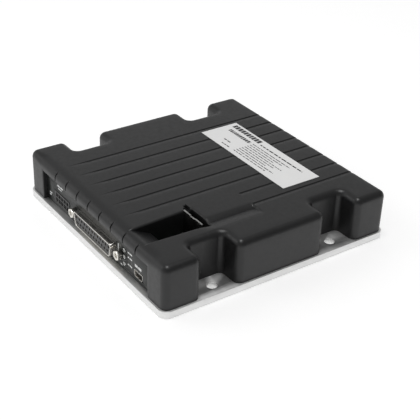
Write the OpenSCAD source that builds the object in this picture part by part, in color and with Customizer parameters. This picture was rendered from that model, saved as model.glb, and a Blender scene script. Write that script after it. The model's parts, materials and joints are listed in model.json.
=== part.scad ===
// Servo drive: a flat motor controller on a square aluminium base plate.
// Millimetres. +Z up, origin at the centre of the plate's underside.
// The connector face looks along -Y. The terminal bay is near the +X side.

/* [Base plate] */
// Side of the square base plate
plate_size = 140; // [138:0.5:144]
// Thickness of the base plate
plate_t = 4; // [3:0.5:5]
// Corner radius of the base plate
plate_corner_r = 5; // [2:0.5:8]
// Distance between the mounting holes across the drive
mount_pitch_x = 125; // [124:0.5:126]
// Distance between the mounting holes along the drive
mount_pitch_y = 75; // [74:0.5:76]
// Diameter of a mounting hole
mount_hole_d = 5.5; // [4.5:0.1:6]

/* [Cover] */
// Height of the cover's top above the plate's underside
top_z = 28; // [27:0.5:32]
// Gap from the plate's edge to the cover's outer wall
cover_inset = 1; // [1:0.25:2]
// Thickness of the cover's side walls
wall_t = 2.4; // [2:0.1:2.6]
// Thickness of the cover's roof
roof_t = 2.8; // [2.4:0.1:3]
// Radius of the cover's outer corners and top edges
edge_r = 3.5; // [3:0.25:4.5]
// Radius of the top edge above the connector face
front_edge_r = 6; // [4.5:0.25:6.5]
// Width of a bolt pocket along the side
pocket_w = 21; // [19:0.5:22]
// Depth of a bolt pocket into the side
pocket_d = 13.5; // [12:0.5:13.5]
// Radius of the inner corners of a bolt pocket
pocket_r = 3; // [2:0.5:4]

/* [Grooves] */
// Number of grooves across the top
groove_count = 8; // [4:2:8]
// Distance between two grooves
groove_pitch = 11.75; // [11:0.25:12]
// Distance of the grooves' middle from the drive's middle
groove_shift = 1; // [0:0.5:1.5]
// Width of a groove
groove_w = 3; // [2:0.5:4]
// Depth of a groove
groove_d = 0.5; // [0.3:0.1:1]

/* [Connector face] */
// Width of the window in the cover's front wall
window_w = 108; // [106:1:110]
// Height of the window's top edge
window_top = 22; // [21.5:0.1:22.5]
// Distance from the cover's front to the connector panel
window_depth = 2.5; // [2.4:0.1:3]
// Thickness of the connector panel
panel_t = 1.4; // [1:0.1:1.6]

/* [Hidden] */
$fn = 48;
eps = 0.01;
cut = 1;
blend_fn = 32;

// Cover outline
half = plate_size / 2 - cover_inset;
spine_half = half - pocket_d;
pocket_y = mount_pitch_y / 2;
bar_end = pocket_y - pocket_w / 2;
bar_start = pocket_y + pocket_w / 2;
roof_z = top_z - roof_t;

// Terminal bay
bay_x = [30.5, 47];
bay_y = [-65.5, -28.2];
bay_wall = 1.6;
chute_z = 8;
bay_ramp = [[-65.5, 0], [-52.5, 6.4], [-51.2, 11]];
ramp_wall = [0.8, 1.9];
slot_x = 25.2;
slot_y = [-32.6, -28.6];
slot_depth = 1.8;
step_end_y = 1;
step_profile = [[40.5, 0], [42, 0.3], [43.3, 0.8], [44.4, 1.5], [51.9, 0]];
step_depth = 1.5;
step_floor = 4;
step_lap = 0.5;

// Nameplate label
label_x = [-37, 38.5];
label_y = [23.5, 48];
label_t = 0.2;

// Circuit board and gap pad
gap_pad_t = 0.6;
gap_pad_half = 44.5;
gap_pad_y = [-40, 60];
board_t = 1.6;
board_z = plate_t + gap_pad_t;
board_top = board_z + board_t;
board_half = 51.5;
board_y = [-63.7, 62];
board_screw_xy = [[-48, -30], [-48, 4], [-48, 57], [48, -10], [48, 57]];
board_screw_r = 1.5;
board_head_r = 2.75;
board_screw_end = 1;

// Cover screws
cover_screw_xy = [for (x = [-61.5, 61.5]) for (y = [-60.5, 0, 60.5]) [x, y]];
screw_r = 1.5;
screw_clear = 0.1;
head_r = 3;
head_h = 1.7;
screw_top = 14;
boss_r = 3.2;
hex_af = 2;
hex_depth = 1.1;

// Connector panel
panel_y = -half + window_depth;
panel_back = panel_y + panel_t;
panel_half = window_w / 2 + 1.5;
panel_z = [plate_t + 0.2, 24];
hole_gap = 0.2;

// 25-way D connector
dsub_x = 1.5;
dsub_z = 11;
dsub_w = 38.4;
dsub_h = 7.9;
dsub_slope = 10;
dsub_corner = 1.3;
dsub_metal = 0.5;
dsub_reach = 3.4;
dsub_flange_w = 53;
dsub_flange_h = 12.5;
dsub_flange_t = 0.8;
dsub_back = panel_back + dsub_flange_t;
dsub_body_d = 9;
dsub_body_w = 39;
insulator_sunk = 0.5;
jack_pitch = 47.04;
jack_af = 4.75;
jack_reach = 2.9;
jack_bore_r = 1.25;
jack_shank_r = 1.4;
jack_tail = 4;
jack_hole_r = 1.6;
contact_pitch = 2.76;
contact_rows = [[1.42, 13], [-1.42, 12]];
contact_hole_r = 0.8;
contact_r = 0.72;
contact_bore_r = 0.5;
contact_len = 7.5;
contact_bore_len = 5;
contact_hole_len = 6;
contact_sunk = 1;
bracket_w = 6;
bracket_t = 2.4;
bracket_rise = 4;
bracket_foot = [8, 1];

// Sensor header
header_x = -36.8;
header_w = 16.6;
header_h = 7;
header_depth = 10;
header_pitch = 3;
header_ways = 5;
header_pin_w = 0.64;
header_cell = 2.1;
header_floor = 2.2;
header_proud = 0.2;
header_pin_sunk = 1.5;
header_cells = [for (i = [0 : header_ways - 1]) (i - (header_ways - 1) / 2) * header_pitch];
header_rows = [-1.5, 1.5];
header_mid = board_top + header_h / 2;

// Service port
usb_x = 42;
usb_w = 7.7;
usb_h = 3.9;
usb_len = 8.6;
usb_metal = 0.3;
usb_proud = 0.1;
usb_back_t = 1.3;
tongue_w = 4.4;
tongue_z = [0.1, 0.9];

// Status lights
light_x = 29.2;
light_r = 0.9;
light_lens_r = 1.1;
light_z = [15.8, 11.8, 7.9];
light_y = [-58.6, -60.8, -63];
light_proud = 0.4;
led_size = [1.6, 1, 0.7];
led_gap = 0.1;

// Power terminals
tab_w = 6.35;
tab_t = 0.8;
tab_taper = 0.6;
tab_hole_r = 0.9;
tab_len = 9;
notch_len = 0.4;
tab_hole_down = 4;
foot_len = 3;
tall_x = 37.7;
tall_y = -31.8;
tall_gap = 3.7;
tall_top = top_z + 0.3;
short_x = 38.75;
short_y = [-48.5, -39.5];
short_gap = 2.9;
short_top = 15.5;

// Power stage: transistors, their ceramic capacitors and the bus capacitors
power_pitch = 13;
power_x = [for (i = [0 : 6]) i * power_pitch - 40];
power_y = [14, 29, 44];
transistor_size = [10, 9, 4.4];
transistor_tab = [8, 1.3, 1.3];
ceramic_x = [for (i = [0 : 5]) i * power_pitch - 33.5];
ceramic_size = [1.6, 3.2, 1.2];
bus_x = [for (i = [0 : 4]) i * 15 - 38];
bus_y = -7;
bus_r = 5.9;
bus_h = 18;
bus_base = [6.2, 2.6];
shunt_x = [-36, -12, 12];
shunt_y = -19.5;
shunt_size = [12, 5, 0.4];
shunt_core = [8, 5, 1.2];

// Control stage
chip_lift = 0.15;
chip_h = 1.6;
leg_pitch = 1.27;
leg_size = [0.4, 0.35];
leg_reach = 1;
driver_xy = [for (x = [-32, -18, -4, 10]) [x, -29]];
driver_size = [9.9, 3.9];
transceiver_xy = [20, -42];
transceiver_size = [4.9, 3.9];
controller_xy = [-4, -43];
controller_size = [14, 14, 1.4];
controller_leg = [0.4, 1.2, 0.25];
controller_legs = 13;
leg_sunk = 0.2;
controller_lift = 0.1;
crystal_xy = [10, -42];
crystal_size = [5, 3.2, 1.2];
inductor_xy = [-39, -41];
inductor_size = [12, 12, 7];
inductor_corner = 7;
regulator_xy = [-23, -42];
regulator_size = [6.6, 6, 2.3];
regulator_tab = [5.4, 1.2, 0.5];
regulator_leg = [0.8, 2.5, 0.5];
regulator_leg_x = [-2.3, 2.3];

// A flat box from one corner to the opposite one
module span(x, y, z)
  translate([x[0], y[0], z[0]])
    cube([x[1] - x[0], y[1] - y[0], z[1] - z[0]]);

// A box that stands on the origin, centred in plan
module brick(size)
  translate([-size[0] / 2, -size[1] / 2, 0])
    cube(size);

// A plate with rounded corners, centred in plan
module round_plate(size, r, h) {
  flat = size - 2 * r;
  translate([-size / 2, -flat / 2, 0]) cube([size, flat, h]);
  translate([-flat / 2, -size / 2, 0]) cube([flat, size, h]);
  for (x = [-1, 1])
    for (y = [-1, 1])
      translate([x * flat / 2, y * flat / 2, 0]) cylinder(h = h, r = r);
}

module base_plate() color("gainsboro")
  difference() {
    round_plate(plate_size, plate_corner_r, plate_t);
    for (x = [-1, 1])
      for (y = [-1, 1])
        translate([x * mount_pitch_x / 2, y * mount_pitch_y / 2, -cut])
          cylinder(h = plate_t + 2 * cut, d = mount_hole_d);
    for (p = cover_screw_xy)
      translate([p[0], p[1], 0]) {
        translate([0, 0, -cut]) cylinder(h = plate_t + 2 * cut, r = screw_r + screw_clear);
        translate([0, 0, -eps])
          cylinder(h = head_h + eps, r1 = head_r + screw_clear, r2 = screw_r + screw_clear);
      }
    for (p = board_screw_xy)
      translate([p[0], p[1], board_screw_end])
        cylinder(h = plate_t, r = board_screw_r + screw_clear);
  }

// One rounded block of the cover, from the plate up, with rounded top edges
module block(x_half, y) {
  hull()
    for (x = [-1, 1])
      for (py = y)
        translate([x * (x_half - edge_r), py, plate_t]) {
          cylinder(h = top_z - plate_t - edge_r, r = edge_r, $fn = blend_fn);
          translate([0, 0, top_z - plate_t - edge_r]) sphere(r = edge_r, $fn = blend_fn);
        }
}

// The block over the connector face, with a softer top edge
module front_block() {
  hull()
    for (x = [-1, 1]) {
      translate([x * (half - edge_r), -half + edge_r, plate_t])
        cylinder(h = top_z - plate_t - front_edge_r, r = edge_r, $fn = blend_fn);
      translate([x * (half - front_edge_r), -half + front_edge_r, top_z - front_edge_r])
        sphere(r = front_edge_r, $fn = blend_fn);
      translate([x * (half - edge_r), -bar_start - edge_r, plate_t]) {
        cylinder(h = top_z - plate_t - edge_r, r = edge_r, $fn = blend_fn);
        translate([0, 0, top_z - plate_t - edge_r]) sphere(r = edge_r, $fn = blend_fn);
      }
    }
}

// Outer form: a spine along Y and three bars across it, which leave the bolt pockets
module cover_form() {
  front_block();
  block(half, [-bar_end + edge_r, bar_end - edge_r]);
  block(half, [bar_start + edge_r, half - edge_r]);
  block(spine_half, [-half + 2 * front_edge_r, half - edge_r]);
  for (x = [-1, 1])
    for (y = [-1, 1])
      for (side = [-1, 1])
        pocket_corner(x, y * pocket_y + side * pocket_w / 2, -side);
}

// The rounded inner corner where a bar meets the spine
module pocket_corner(x, y, inward)
  translate([x * spine_half, y, plate_t])
    linear_extrude(top_z - edge_r / 2 - plate_t)
      difference() {
        translate([x > 0 ? -eps : -pocket_r, inward > 0 ? -eps : -pocket_r])
          square(pocket_r + eps);
        translate([x * pocket_r, inward * pocket_r]) circle(r = pocket_r);
      }

// One groove in the top: a steep side and a soft side, carried down the front face
module groove(x) {
  steep = groove_w / 4;
  hull() {
    for (y = [-half - cut, half + cut])
      translate([x - steep, y, top_z - groove_d]) cube([steep, eps, groove_d + cut]);
    for (y = [-half - cut, half + cut])
      translate([x - steep, y, top_z]) cube([groove_w, eps, cut]);
  }
  translate([x - steep, -half - cut, window_top]) cube([steep, cut + groove_d, top_z]);
}

module grooves()
  for (i = [0 : groove_count - 1])
    groove((i - (groove_count - 1) / 2) * groove_pitch + groove_shift);

// The hollow inside the cover
module cavity() {
  z = [plate_t - cut, roof_z];
  inner = half - wall_t;
  span([-spine_half + wall_t, spine_half - wall_t], [-inner, inner], z);
  span([-inner, inner], [-inner, -bar_start - wall_t], z);
  span([-inner, inner], [-bar_end + wall_t, bar_end - wall_t], z);
  span([-inner, inner], [bar_start + wall_t, inner], z);
}

// The side profile of the terminal bay: a ramp, a steep drop and an open chute. The wall around
// it is the same profile moved down and forwards by ramp_wall.
module bay_profile(wall, back, top) {
  ramp = [for (p = bay_ramp) [p[0] - wall[0], top_z - p[1] - wall[1]]];
  foot_y = ramp[len(ramp) - 1][0];
  polygon(concat([[ramp[0][0], top]], ramp,
                 [[foot_y, chute_z], [bay_y[1] + back, chute_z], [bay_y[1] + back, top]]));
}

module bay_solid(grow, wall, top)
  translate([bay_x[0] - grow, 0, 0])
    rotate([90, 0, 90])
      linear_extrude(bay_x[1] - bay_x[0] + 2 * grow) bay_profile(wall, grow, top);

// The step behind the terminal bay: a rounded drop towards +X and a long gentle rise
module side_step() {
  line = [for (p = step_profile) [p[0], top_z - p[1]]];
  foot = line[len(line) - 1][0];
  translate([0, step_end_y, 0])
    rotate([90, 0, 0])
      linear_extrude(step_end_y - bay_y[1] + step_lap)
        polygon(concat([[line[0][0], top_z + cut]], line, [[foot, top_z + cut]]));
}

module cover() color([0.16, 0.16, 0.17])
  difference() {
    union() {
      difference() {
        cover_form();
        cavity();
        grooves();
      }
      intersection() {
        bay_solid(bay_wall, ramp_wall, top_z - 1);
        span([0, half], [-half + 1, half], [0, top_z - 1]);
      }
      span([step_profile[0][0], step_profile[3][0] + step_floor],
           [bay_y[1], step_end_y + wall_t], [roof_z - step_depth, roof_z + eps]);
      for (p = cover_screw_xy)
        translate([p[0], p[1], plate_t]) cylinder(h = roof_z - plate_t + eps, r = boss_r);
    }
    bay_solid(0, [0, 0], top_z + 2 * cut);
    translate([0, 0, -cut]) bay_solid(0, [0, 0], chute_z + 2 * cut);
    span([slot_x, bay_x[0] + cut], slot_y, [top_z - slot_depth, top_z + cut]);
    side_step();
    span([-window_w / 2, window_w / 2], [-half - cut, panel_y], [plate_t - cut, window_top]);
    for (p = cover_screw_xy)
      translate([p[0], p[1], plate_t - cut])
        cylinder(h = screw_top + 2 * cut - plate_t, r = screw_r + screw_clear);
  }

// The trapezoid outline of the D connector, wide side up
module dsub_outline(w, h) {
  inset = h * tan(dsub_slope) + dsub_corner;
  hull()
    for (side = [-1, 1]) {
      translate([side * (w / 2 - dsub_corner), h / 2 - dsub_corner])
        circle(r = dsub_corner, $fn = blend_fn);
      translate([side * (w / 2 - inset), dsub_corner - h / 2])
        circle(r = dsub_corner, $fn = blend_fn);
    }
}

// Stands a flat outline on the connector face; it reaches back from front_y
module face_extrude(front_y, depth)
  translate([0, front_y + depth, 0])
    rotate([90, 0, 0])
      linear_extrude(depth) children();

module front_panel() color([0.13, 0.13, 0.14])
  difference() {
    span([-panel_half, panel_half], [panel_y, panel_y + panel_t], panel_z);
    face_extrude(panel_y - cut, panel_t + 2 * cut) {
      translate([dsub_x, dsub_z]) dsub_outline(dsub_w + 2 * hole_gap, dsub_h + 2 * hole_gap);
      translate([header_x, header_mid])
        square([header_w + 2 * hole_gap, header_h + 2 * hole_gap], center = true);
      translate([usb_x, board_top + usb_h / 2])
        square([usb_w + 2 * hole_gap, usb_h + 2 * hole_gap], center = true);
    }
    for (x = [-1, 1])
      translate([dsub_x + x * jack_pitch / 2, panel_y - cut, dsub_z])
        rotate([-90, 0, 0]) cylinder(h = panel_t + 2 * cut, r = jack_hole_r);
    for (z = light_z)
      translate([light_x, panel_y - cut, z])
        rotate([-90, 0, 0]) cylinder(h = panel_t + 2 * cut, r = light_lens_r + hole_gap);
  }

module nameplate_label() color("white")
  span(label_x, label_y, [top_z, top_z + label_t]);

module thermal_pad() color([0.55, 0.6, 0.7])
  span([-gap_pad_half, gap_pad_half], gap_pad_y, [plate_t, board_z]);

module main_board() color([0.06, 0.16, 0.1])
  difference() {
    span([-board_half, board_half], board_y, [board_z, board_top]);
    for (p = board_screw_xy)
      translate([p[0], p[1], board_z - cut])
        cylinder(h = board_t + 2 * cut, r = board_screw_r + screw_clear);
  }

module board_screws() color("silver")
  for (p = board_screw_xy)
    translate([p[0], p[1], 0])
      difference() {
        union() {
          translate([0, 0, board_screw_end])
            cylinder(h = board_top - board_screw_end + eps, r = board_screw_r);
          translate([0, 0, board_top]) cylinder(h = head_h, r = board_head_r);
        }
        translate([0, 0, board_top + head_h - hex_depth])
          cylinder(h = hex_depth + cut, d = hex_af / cos(30), $fn = 6);
      }

module cover_screws() color("silver")
  for (p = cover_screw_xy)
    translate([p[0], p[1], 0])
      difference() {
        union() {
          cylinder(h = head_h, r1 = head_r, r2 = screw_r);
          cylinder(h = screw_top, r = screw_r);
        }
        translate([0, 0, -cut]) cylinder(h = hex_depth + cut, d = hex_af / cos(30), $fn = 6);
      }

module dsub_shell() color([0.8, 0.8, 0.78])
  difference() {
    union() {
      face_extrude(panel_y - dsub_reach, dsub_reach + panel_t)
        translate([dsub_x, dsub_z]) dsub_outline(dsub_w, dsub_h);
      span([dsub_x - dsub_flange_w / 2, dsub_x + dsub_flange_w / 2], [panel_back, dsub_back],
           [dsub_z - dsub_flange_h / 2, dsub_z + dsub_flange_h / 2]);
    }
    face_extrude(panel_y - dsub_reach - cut, dsub_reach + panel_t + dsub_flange_t + 2 * cut)
      translate([dsub_x, dsub_z])
        dsub_outline(dsub_w - 2 * dsub_metal, dsub_h - 2 * dsub_metal);
    for (x = [-1, 1])
      translate([dsub_x + x * jack_pitch / 2, panel_y, dsub_z])
        rotate([-90, 0, 0]) cylinder(h = panel_t + dsub_flange_t + cut, r = jack_hole_r);
  }

// Places children at each of the 25 contact positions
module at_contacts()
  for (row = contact_rows)
    for (i = [0 : row[1] - 1])
      translate([dsub_x + (i - (row[1] - 1) / 2) * contact_pitch, 0, dsub_z + row[0]])
        children();

module dsub_body() color([0.1, 0.1, 0.11])
  difference() {
    union() {
      face_extrude(panel_y - dsub_reach + insulator_sunk, dsub_reach + panel_t + dsub_flange_t)
        translate([dsub_x, dsub_z])
          dsub_outline(dsub_w - 2 * dsub_metal - 0.1, dsub_h - 2 * dsub_metal - 0.1);
      span([dsub_x - dsub_body_w / 2, dsub_x + dsub_body_w / 2],
           [dsub_back, dsub_back + dsub_body_d],
           [board_top, dsub_z + dsub_flange_h / 2]);
    }
    at_contacts()
      translate([0, panel_y - dsub_reach - cut, 0])
        rotate([-90, 0, 0]) cylinder(h = dsub_reach + panel_t + contact_hole_len, r = contact_hole_r);
  }

module dsub_contacts() color("gold")
  at_contacts()
    translate([0, panel_y - dsub_reach + contact_sunk, 0])
      rotate([-90, 0, 0])
        difference() {
          cylinder(h = contact_len, r = contact_r);
          translate([0, 0, -cut]) cylinder(h = contact_bore_len + cut, r = contact_bore_r);
        }

module dsub_jackscrews() color([0.85, 0.84, 0.8])
  for (x = [-1, 1])
    translate([dsub_x + x * jack_pitch / 2, panel_y - jack_reach, dsub_z])
      rotate([-90, 0, 0])
        difference() {
          union() {
            rotate([0, 0, 30]) cylinder(h = jack_reach, d = jack_af / cos(30), $fn = 6);
            cylinder(h = jack_reach + panel_t + dsub_flange_t + jack_tail, r = jack_shank_r);
          }
          translate([0, 0, -cut]) cylinder(h = jack_reach + 1 + cut, r = jack_bore_r);
        }

module dsub_bracket() color([0.7, 0.7, 0.68])
  for (x = [-1, 1])
    translate([dsub_x + x * jack_pitch / 2, 0, 0])
      difference() {
        union() {
          span([-bracket_w / 2, bracket_w / 2], [dsub_back, dsub_back + bracket_t],
               [board_top, dsub_z + bracket_rise]);
          span([-bracket_w / 2, bracket_w / 2], [dsub_back, dsub_back + bracket_foot[0]],
               [board_top, board_top + bracket_foot[1]]);
        }
        translate([0, dsub_back - cut, dsub_z])
          rotate([-90, 0, 0]) cylinder(h = bracket_t + 2 * cut, r = jack_hole_r);
      }

module sensor_header() color([0.09, 0.09, 0.1])
  difference() {
    span([header_x - header_w / 2, header_x + header_w / 2],
         [panel_y - header_proud, panel_y - header_proud + header_depth],
         [board_top, board_top + header_h]);
    for (x = header_cells)
      for (z = header_rows)
        translate([header_x + x - header_cell / 2, panel_y - header_proud - cut,
                   header_mid + z - header_cell / 2])
          cube([header_cell, header_depth - header_floor + cut, header_cell]);
    for (x = header_cells)
      for (z = header_rows)
        translate([header_x + x - header_pin_w / 2, panel_y, header_mid + z - header_pin_w / 2])
          cube([header_pin_w, header_depth + cut, header_pin_w]);
  }

module sensor_header_pins() color("gold")
  for (x = header_cells)
    for (z = header_rows) {
      start_y = panel_y + header_pin_sunk;
      tail_y = start_y + header_depth + z;
      pin_z = header_mid + z;
      translate([header_x + x - header_pin_w / 2, start_y, pin_z - header_pin_w / 2])
        cube([header_pin_w, tail_y - start_y, header_pin_w]);
      translate([header_x + x - header_pin_w / 2, tail_y - header_pin_w, board_top])
        cube([header_pin_w, header_pin_w, pin_z + header_pin_w / 2 - board_top]);
    }

module usb_outline(w, h)
  polygon([[-w / 2, h / 2], [w / 2, h / 2], [w / 2, -h / 6], [w / 2 - h / 5, -h / 2],
           [h / 5 - w / 2, -h / 2], [-w / 2, -h / 6]]);

module usb_shell() color([0.78, 0.78, 0.77])
  face_extrude(panel_y - usb_proud, usb_len)
    translate([usb_x, board_top + usb_h / 2])
      difference() {
        usb_outline(usb_w, usb_h);
        usb_outline(usb_w - 2 * usb_metal, usb_h - 2 * usb_metal);
      }

module usb_tongue() color([0.08, 0.08, 0.09]) {
  mid = board_top + usb_h / 2;
  end = panel_y - usb_proud + usb_len;
  span([usb_x - tongue_w / 2, usb_x + tongue_w / 2], [panel_y + 2 * usb_metal, end],
       [mid + tongue_z[0], mid + tongue_z[1]]);
  face_extrude(end - usb_back_t, usb_back_t)
    translate([usb_x, mid]) usb_outline(usb_w - 2 * usb_metal, usb_h - 2 * usb_metal);
}

module status_light_pipes() color([0.8, 0.82, 0.8, 0.8])
  for (i = [0 : 2])
    translate([light_x, 0, 0]) {
      translate([0, panel_y - light_proud, light_z[i]])
        rotate([-90, 0, 0]) {
          cylinder(h = light_y[i] + light_r - panel_y + light_proud, r = light_r);
          cylinder(h = light_proud, r = light_lens_r);
        }
      translate([0, light_y[i], board_top + led_size[2] + led_gap])
        cylinder(h = light_z[i] - board_top - led_size[2] - led_gap, r = light_r);
    }

module status_leds() color("ivory")
  for (y = light_y)
    translate([light_x, y, board_top]) brick(led_size);

// A twin blade: one foot, one upright and two tapered tabs with a hole in each; split is the
// depth of the gap between the tabs
module twin_blade(place, gap, top, split) {
  width = 2 * tab_w + gap;
  bridge = top - split;
  taper = min(tab_taper, split / 2);
  difference() {
    translate([place[0], place[1] - tab_t / 2, 0])
      rotate([90, 0, 180])
        mirror([1, 0, 0])
          translate([0, 0, -tab_t])
            linear_extrude(tab_t) {
              translate([-width / 2, board_top]) square([width, bridge - board_top]);
              for (side = [-1, 1])
                translate([side * (width - tab_w) / 2, bridge - eps])
                  polygon([[-tab_w / 2, 0], [tab_w / 2, 0], [tab_w / 2, split - taper],
                           [tab_w / 2 - taper, split], [taper - tab_w / 2, split],
                           [-tab_w / 2, split - taper]]);
            }
    for (side = [-1, 1])
      translate([place[0] + side * (width - tab_w) / 2, place[1] - cut, top - tab_hole_down])
        rotate([-90, 0, 0]) cylinder(h = 2 * cut, r = tab_hole_r);
  }
  span([place[0] - width / 2, place[0] + width / 2],
       [place[1] - tab_t / 2, place[1] + foot_len], [board_top, board_top + tab_t]);
}

module tall_terminal() color([0.85, 0.84, 0.8])
  twin_blade([tall_x, tall_y], tall_gap, tall_top, notch_len);

module short_terminals() color([0.85, 0.84, 0.8])
  for (y = short_y) twin_blade([short_x, y], short_gap, short_top, tab_len);

// A power transistor: moulded body and metal tab
module power_transistor() {
  brick(transistor_size);
  translate([0, (transistor_size[1] + transistor_tab[1]) / 2, 0]) brick(transistor_tab);
}

module power_mosfets() color([0.12, 0.12, 0.13])
  for (x = power_x)
    for (y = power_y)
      translate([x, y, board_top]) power_transistor();

module ceramic_capacitors() color([0.7, 0.6, 0.45])
  for (x = ceramic_x)
    for (y = power_y)
      translate([x, y, board_top]) brick(ceramic_size);

module bus_capacitors() color([0.15, 0.17, 0.25])
  for (x = bus_x)
    translate([x, bus_y, board_top]) {
      cylinder(h = bus_base[1], r = bus_base[0]);
      cylinder(h = bus_h, r = bus_r);
    }

module current_shunts() color([0.6, 0.5, 0.4])
  for (x = shunt_x)
    translate([x, shunt_y, board_top]) {
      brick(shunt_size);
      brick(shunt_core);
    }

// A small moulded circuit with legs along two sides
module gull_wing_chip(size, legs) {
  translate([0, 0, chip_lift]) brick([size[0], size[1], chip_h - chip_lift]);
  for (i = [0 : legs - 1])
    translate([(i - (legs - 1) / 2) * leg_pitch, 0, 0])
      brick([leg_size[0], size[1] + 2 * leg_reach, leg_size[1]]);
}

module gate_drivers() color([0.1, 0.1, 0.1])
  for (p = driver_xy)
    translate([p[0], p[1], board_top]) gull_wing_chip(driver_size, 7);

module can_transceiver() color([0.1, 0.1, 0.1])
  translate([transceiver_xy[0], transceiver_xy[1], board_top])
    gull_wing_chip(transceiver_size, 4);

module microcontroller() color([0.1, 0.1, 0.1])
  translate([controller_xy[0], controller_xy[1], board_top]) {
    translate([0, 0, controller_lift]) brick(controller_size);
    for (turn = [0 : 90 : 270])
      rotate([0, 0, turn])
        for (i = [0 : controller_legs - 1])
          translate([i - (controller_legs - 1) / 2,
                     (controller_size[1] + controller_leg[1]) / 2 - leg_sunk, 0])
            brick(controller_leg);
  }

module crystal() color("silver")
  translate([crystal_xy[0], crystal_xy[1], board_top]) brick(crystal_size);

module buck_inductor() color([0.25, 0.25, 0.26])
  translate([inductor_xy[0], inductor_xy[1], board_top])
    difference() {
      brick(inductor_size);
      for (turn = [0 : 90 : 270])
        rotate([0, 0, turn + 45])
          span([inductor_corner, 2 * inductor_corner], [-5, 5], [-cut, inductor_size[2] + cut]);
    }

module voltage_regulator() color([0.12, 0.12, 0.13])
  translate([regulator_xy[0], regulator_xy[1], board_top]) {
    brick(regulator_size);
    translate([0, (regulator_size[1] + regulator_tab[1]) / 2, 0]) brick(regulator_tab);
    for (x = regulator_leg_x)
      translate([x, -(regulator_size[1] + regulator_leg[1]) / 2, 0]) brick(regulator_leg);
  }

base_plate();
cover();
front_panel();
nameplate_label();
thermal_pad();
main_board();
board_screws();
cover_screws();
dsub_shell();
dsub_body();
dsub_contacts();
dsub_jackscrews();
dsub_bracket();
sensor_header();
sensor_header_pins();
usb_shell();
usb_tongue();
status_light_pipes();
status_leds();
tall_terminal();
short_terminals();
power_mosfets();
bus_capacitors();
current_shunts();
gate_drivers();
microcontroller();
crystal();
can_transceiver();
buck_inductor();
voltage_regulator();
ceramic_capacitors();
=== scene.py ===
"""The looks of a flat servo drive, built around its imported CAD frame.

Geometry code works in millimetres in the CAD frame: +Z up, -Y out of the connector face.
"""
import json
import math
import random

import bmesh
import bpy
import numpy as np
from mathutils import Matrix, Vector
from mathutils.geometry import delaunay_2d_cdt


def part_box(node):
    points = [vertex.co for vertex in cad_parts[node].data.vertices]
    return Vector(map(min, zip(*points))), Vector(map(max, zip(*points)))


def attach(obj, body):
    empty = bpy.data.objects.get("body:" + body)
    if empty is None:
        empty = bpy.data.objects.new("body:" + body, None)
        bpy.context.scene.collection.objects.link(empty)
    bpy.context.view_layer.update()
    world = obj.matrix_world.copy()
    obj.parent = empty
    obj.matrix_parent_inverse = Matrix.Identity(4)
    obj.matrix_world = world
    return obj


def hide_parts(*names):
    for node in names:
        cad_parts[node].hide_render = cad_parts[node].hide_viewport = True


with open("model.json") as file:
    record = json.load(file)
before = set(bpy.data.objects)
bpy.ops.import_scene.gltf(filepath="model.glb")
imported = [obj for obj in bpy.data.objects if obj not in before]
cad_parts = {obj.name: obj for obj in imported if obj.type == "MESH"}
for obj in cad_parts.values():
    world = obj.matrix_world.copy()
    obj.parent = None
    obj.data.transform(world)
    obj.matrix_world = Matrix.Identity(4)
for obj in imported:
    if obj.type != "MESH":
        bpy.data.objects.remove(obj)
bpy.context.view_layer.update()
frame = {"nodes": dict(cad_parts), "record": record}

MM = 0.001
ROOT = "root"


def box_mm(node):
    """Lowest and highest corner of a CAD node, in millimetres."""
    low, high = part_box(node)
    return low / MM, high / MM


def smooth(t):
    """Smooth step from 0 to 1."""
    t = min(1.0, max(0.0, t))
    return t * t * (3 - 2 * t)


def between(a, b, steps):
    """Evenly spaced values from a to b, both included."""
    return [a + (b - a) * i / steps for i in range(steps + 1)]


# ---------------------------------------------------------------- sizes from the frame
cover_low, cover_high = box_mm("cover")
panel_front = box_mm("front_panel")[0].y
label_low, label_high = box_mm("nameplate_label")
MOUNTS = {m["name"]: m for m in frame["record"]["mounts"]}
SLOTS = {part["node"]: part["material_slot"] for part in frame["record"]["subparts"]}

HALF = cover_high.x
FLOOR = cover_low.z
TOP = label_low.z
PITCH_Y = MOUNTS["mounting_holes"]["dims"]["spacing_y_mm"]
TOUCH = 0.01                # places closer than this count as the same

# ---------------------------------------------------------------- cover
SPINE_HALF = 55.5
POCKET_W = 21.0
CORNER_R = 3.9              # a little over the rounding's width, so the top outline has no loops
POCKET_R = 3.0
SIDE_EDGE = (3.7, 3.7)      # width and height of the rounding along the top edges
FRONT_EDGE = (6.5, 4.8)     # the same above the connector face
EDGE_BLEND = (64.0, 56.0)   # |x| over which one turns into the other
WALL = 2.4
WALL_Z = (FLOOR, 10, 16, 19, 21, 22)  # rows of points up a side wall, below its rounded edge
ROOF_Z = 24.6
BACK_FADE = (18, 24)        # z over which the grooves run out down the back wall
GROOVES = [(i - 3.5) * 11.75 + 1 for i in range(8)]
GROOVE_DEPTH = 0.4
GROOVE_STEEP = 0.4          # width of a groove's steep side
GROOVE_SOFT = 3.0           # width of its soft side
GROOVE_FADE = (-62.0, -46.0)          # y over which a groove gives way behind the front edge
NOTCH_DEPTH = 2.2                     # how far each groove's notch cuts into the front face
NOTCH_HALF = 0.45
NOTCH_SHIFT = 0.9                     # from a groove's steep side to its notch
BAY_FRONT_X = (31.4, 45.6)  # the bay's sides where its taper starts
BAY_BACK_X = (29.8, 47.2)   # the bay's sides at its back
BAY_TAPER_Y = -62.0
BAY_BACK = -28.2
BAY_CORNER = 1.5
BAY_RIM = 1.0               # radius of the rounded rim
BAY_RIM_STEPS = (BAY_RIM, 0.75, 0.5, 0.25, 0.08, 0.0)
BAY_LIP = -0.06             # how far inside the opening its walls reach full depth
RAMP_Y = (-65.8, -53.0, -51.2)        # start, brink and foot of the ramp
RAMP_Z = (6.2, 11.0)        # depth of the brink and the foot
RAMP_SOFT = 1.2             # length over which the ramp bends down at its start
CHUTE_Z = 8.0
CHUTE_WALL = 1.6
STEP_END_Y = 0.6
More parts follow.
